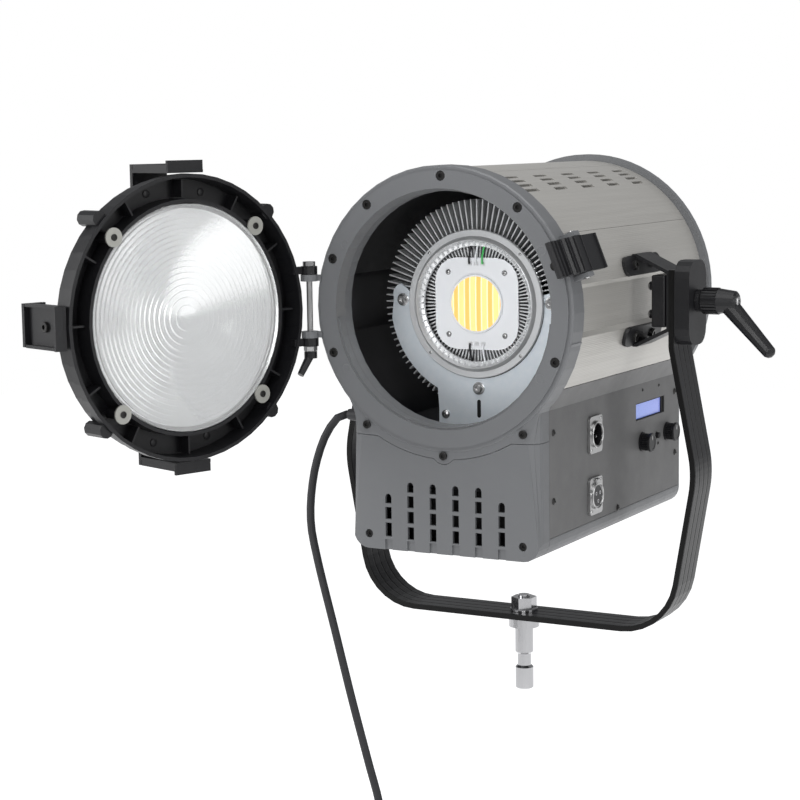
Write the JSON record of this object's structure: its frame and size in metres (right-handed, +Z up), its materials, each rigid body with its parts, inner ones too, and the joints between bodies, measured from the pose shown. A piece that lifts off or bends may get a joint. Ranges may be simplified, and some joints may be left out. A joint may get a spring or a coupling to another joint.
{
  "type": "fresnel spotlight",
  "caption": "LED Fresnel spotlight with a swing-out lens door, a focusing engine in a vented barrel over a control box, a tilting yoke with a spigot, and a power cord.",
  "frame": {"origin": "centre of the lower end of the mounting spigot", "axes": "+Z up along the spigot, the light points along -Y, and the control panel faces +X"},
  "size_m": [0.4782, 0.5383, 0.7102],
  "materials": {
    "grey_paint": "fine textured powder coat, dark grey",
    "silver_barrel": "finely ribbed anodised extrusion",
    "black_paint": "satin black",
    "black_plastic": "moulded, satin",
    "black_rubber": "matt",
    "zinc_steel": "zinc plated",
    "chrome": "bright",
    "aluminium": "plain",
    "lens_glass": "stepped lens, clear",
    "display_glass": "blue backlit window",
    "board_white": "solder mask",
    "phosphor_yellow": "silicone over phosphor"
  },
  "bodies": {
    "yoke": {"yoke_frame": "black_paint", "arm_cap_right": "black_paint", "arm_cap_left": "black_paint", "spigot": "chrome", "spigot_nut": "chrome", "tilt_bolt_left": "zinc_steel", "power_cord": "black_rubber", "cord_coil": "black_rubber", "power_plug": "black_rubber"},
    "tilt_lock": {"tilt_lever": "black_plastic"},
    "head": {"front_casting": "grey_paint", "lower_front_cover": "grey_paint", "barrel_top": "silver_barrel", "barrel_vent_right": "silver_barrel", "barrel_vent_left": "silver_barrel", "barrel_side_right": "silver_barrel", "barrel_side_left": "silver_barrel", "rear_flange": "grey_paint", "control_panel": "grey_paint", "left_panel": "grey_paint", "bottom_cover": "grey_paint", "rear_panel": "grey_paint", "power_supply": "black_plastic", "display_window": "display_glass", "signal_socket_in": "zinc_steel", "signal_socket_out": "zinc_steel", "guide_rod_right": "zinc_steel", "guide_rod_left": "zinc_steel", "fan_frame": "black_plastic", "tilt_bracket_right": "black_paint", "tilt_bracket_left": "black_paint", "clamp_block_right": "black_plastic", "clamp_block_left": "black_plastic", "hinge_pin": "zinc_steel", "latch_pin": "zinc_steel", "cable_gland": "black_rubber"},
    "door": {"door_ring": "black_paint", "fresnel_lens": "lens_glass", "lens_clamp_1": "chrome", "lens_clamp_2": "chrome", "lens_clamp_3": "chrome", "lens_clamp_4": "chrome", "clip_top": "black_paint", "clip_far": "black_paint", "clip_bottom": "black_paint"},
    "latch": {"latch_plate": "black_paint"},
    "engine": {"heatsink": "aluminium", "led_bezel": "chrome", "led_board": "board_white", "led_emitter": "phosphor_yellow", "engine_carrier": "zinc_steel", "engine_slider": "aluminium", "focus_rack": "zinc_steel"},
    "focus": {"focus_pinion": "zinc_steel", "focus_knob": "black_plastic"},
    "dimmer": {"dimmer_knob": "black_plastic"},
    "button": {"menu_button": "black_plastic"},
    "catch": {"socket_catch": "zinc_steel"},
    "hinge_lock": {"hinge_lever": "black_plastic"},
    "fan": {"fan_rotor": "black_plastic"}
  },
  "joints": [
    {"name": "head_tilt", "type": "hinge", "parent": "yoke", "child": "head", "pos_m": [0, 0, 0.346], "axis": [1, 0, 0], "range_deg": [-60, 45], "deforming": ["power_cord"]},
    {"name": "tilt_lock_turn", "type": "hinge", "parent": "yoke", "child": "tilt_lock", "pos_m": [0.16, 0, 0.346], "axis": [1, 0, 0], "range_deg": [-175, 175]},
    {"name": "door_swing", "type": "hinge", "parent": "head", "child": "door", "pos_m": [-0.121, -0.1526, 0.346], "axis": [0, 0, 1], "range_deg": [-40, 109.4]},
    {"name": "latch_lift", "type": "hinge", "parent": "head", "child": "latch", "pos_m": [0.1137, -0.1366, 0.39079], "axis": [-0.3665, 0, 0.9304], "range_deg": [-6, 20]},
    {"name": "engine_slide", "type": "slide", "parent": "head", "child": "engine", "axis": [0, -1, 0], "range_m": [-0.035, 0.035]},
    {"name": "focus_turn", "type": "hinge", "parent": "head", "child": "focus", "pos_m": [0.0843, 0.0659, 0.2148], "axis": [1, 0, 0], "range_deg": [-200.6, 200.6]},
    {"name": "dimmer_turn", "type": "hinge", "parent": "head", "child": "dimmer", "pos_m": [0.0843, 0.1244, 0.2165], "axis": [1, 0, 0], "range_deg": [-135, 135]},
    {"name": "button_press", "type": "slide", "parent": "head", "child": "button", "axis": [-1, 0, 0], "range_m": [0, 0.0015], "stiffness_N_per_m": 300},
    {"name": "catch_press", "type": "slide", "parent": "head", "child": "catch", "axis": [-1, 0, 0], "range_m": [0, 0.0025], "stiffness_N_per_m": 200},
    {"name": "hinge_lock_turn", "type": "hinge", "parent": "head", "child": "hinge_lock", "pos_m": [-0.121, -0.1526, 0.306], "axis": [0, 0, 1], "range_deg": [-60, 60]},
    {"name": "fan_spin", "type": "hinge", "parent": "head", "child": "fan", "pos_m": [0, 0.1381, 0.346], "axis": [0, 1, 0], "continuous": true}
  ],
  "couplings": [
    {"joint": "focus_turn", "follows": "engine_slide", "rad_per_m": 100}
  ]
}
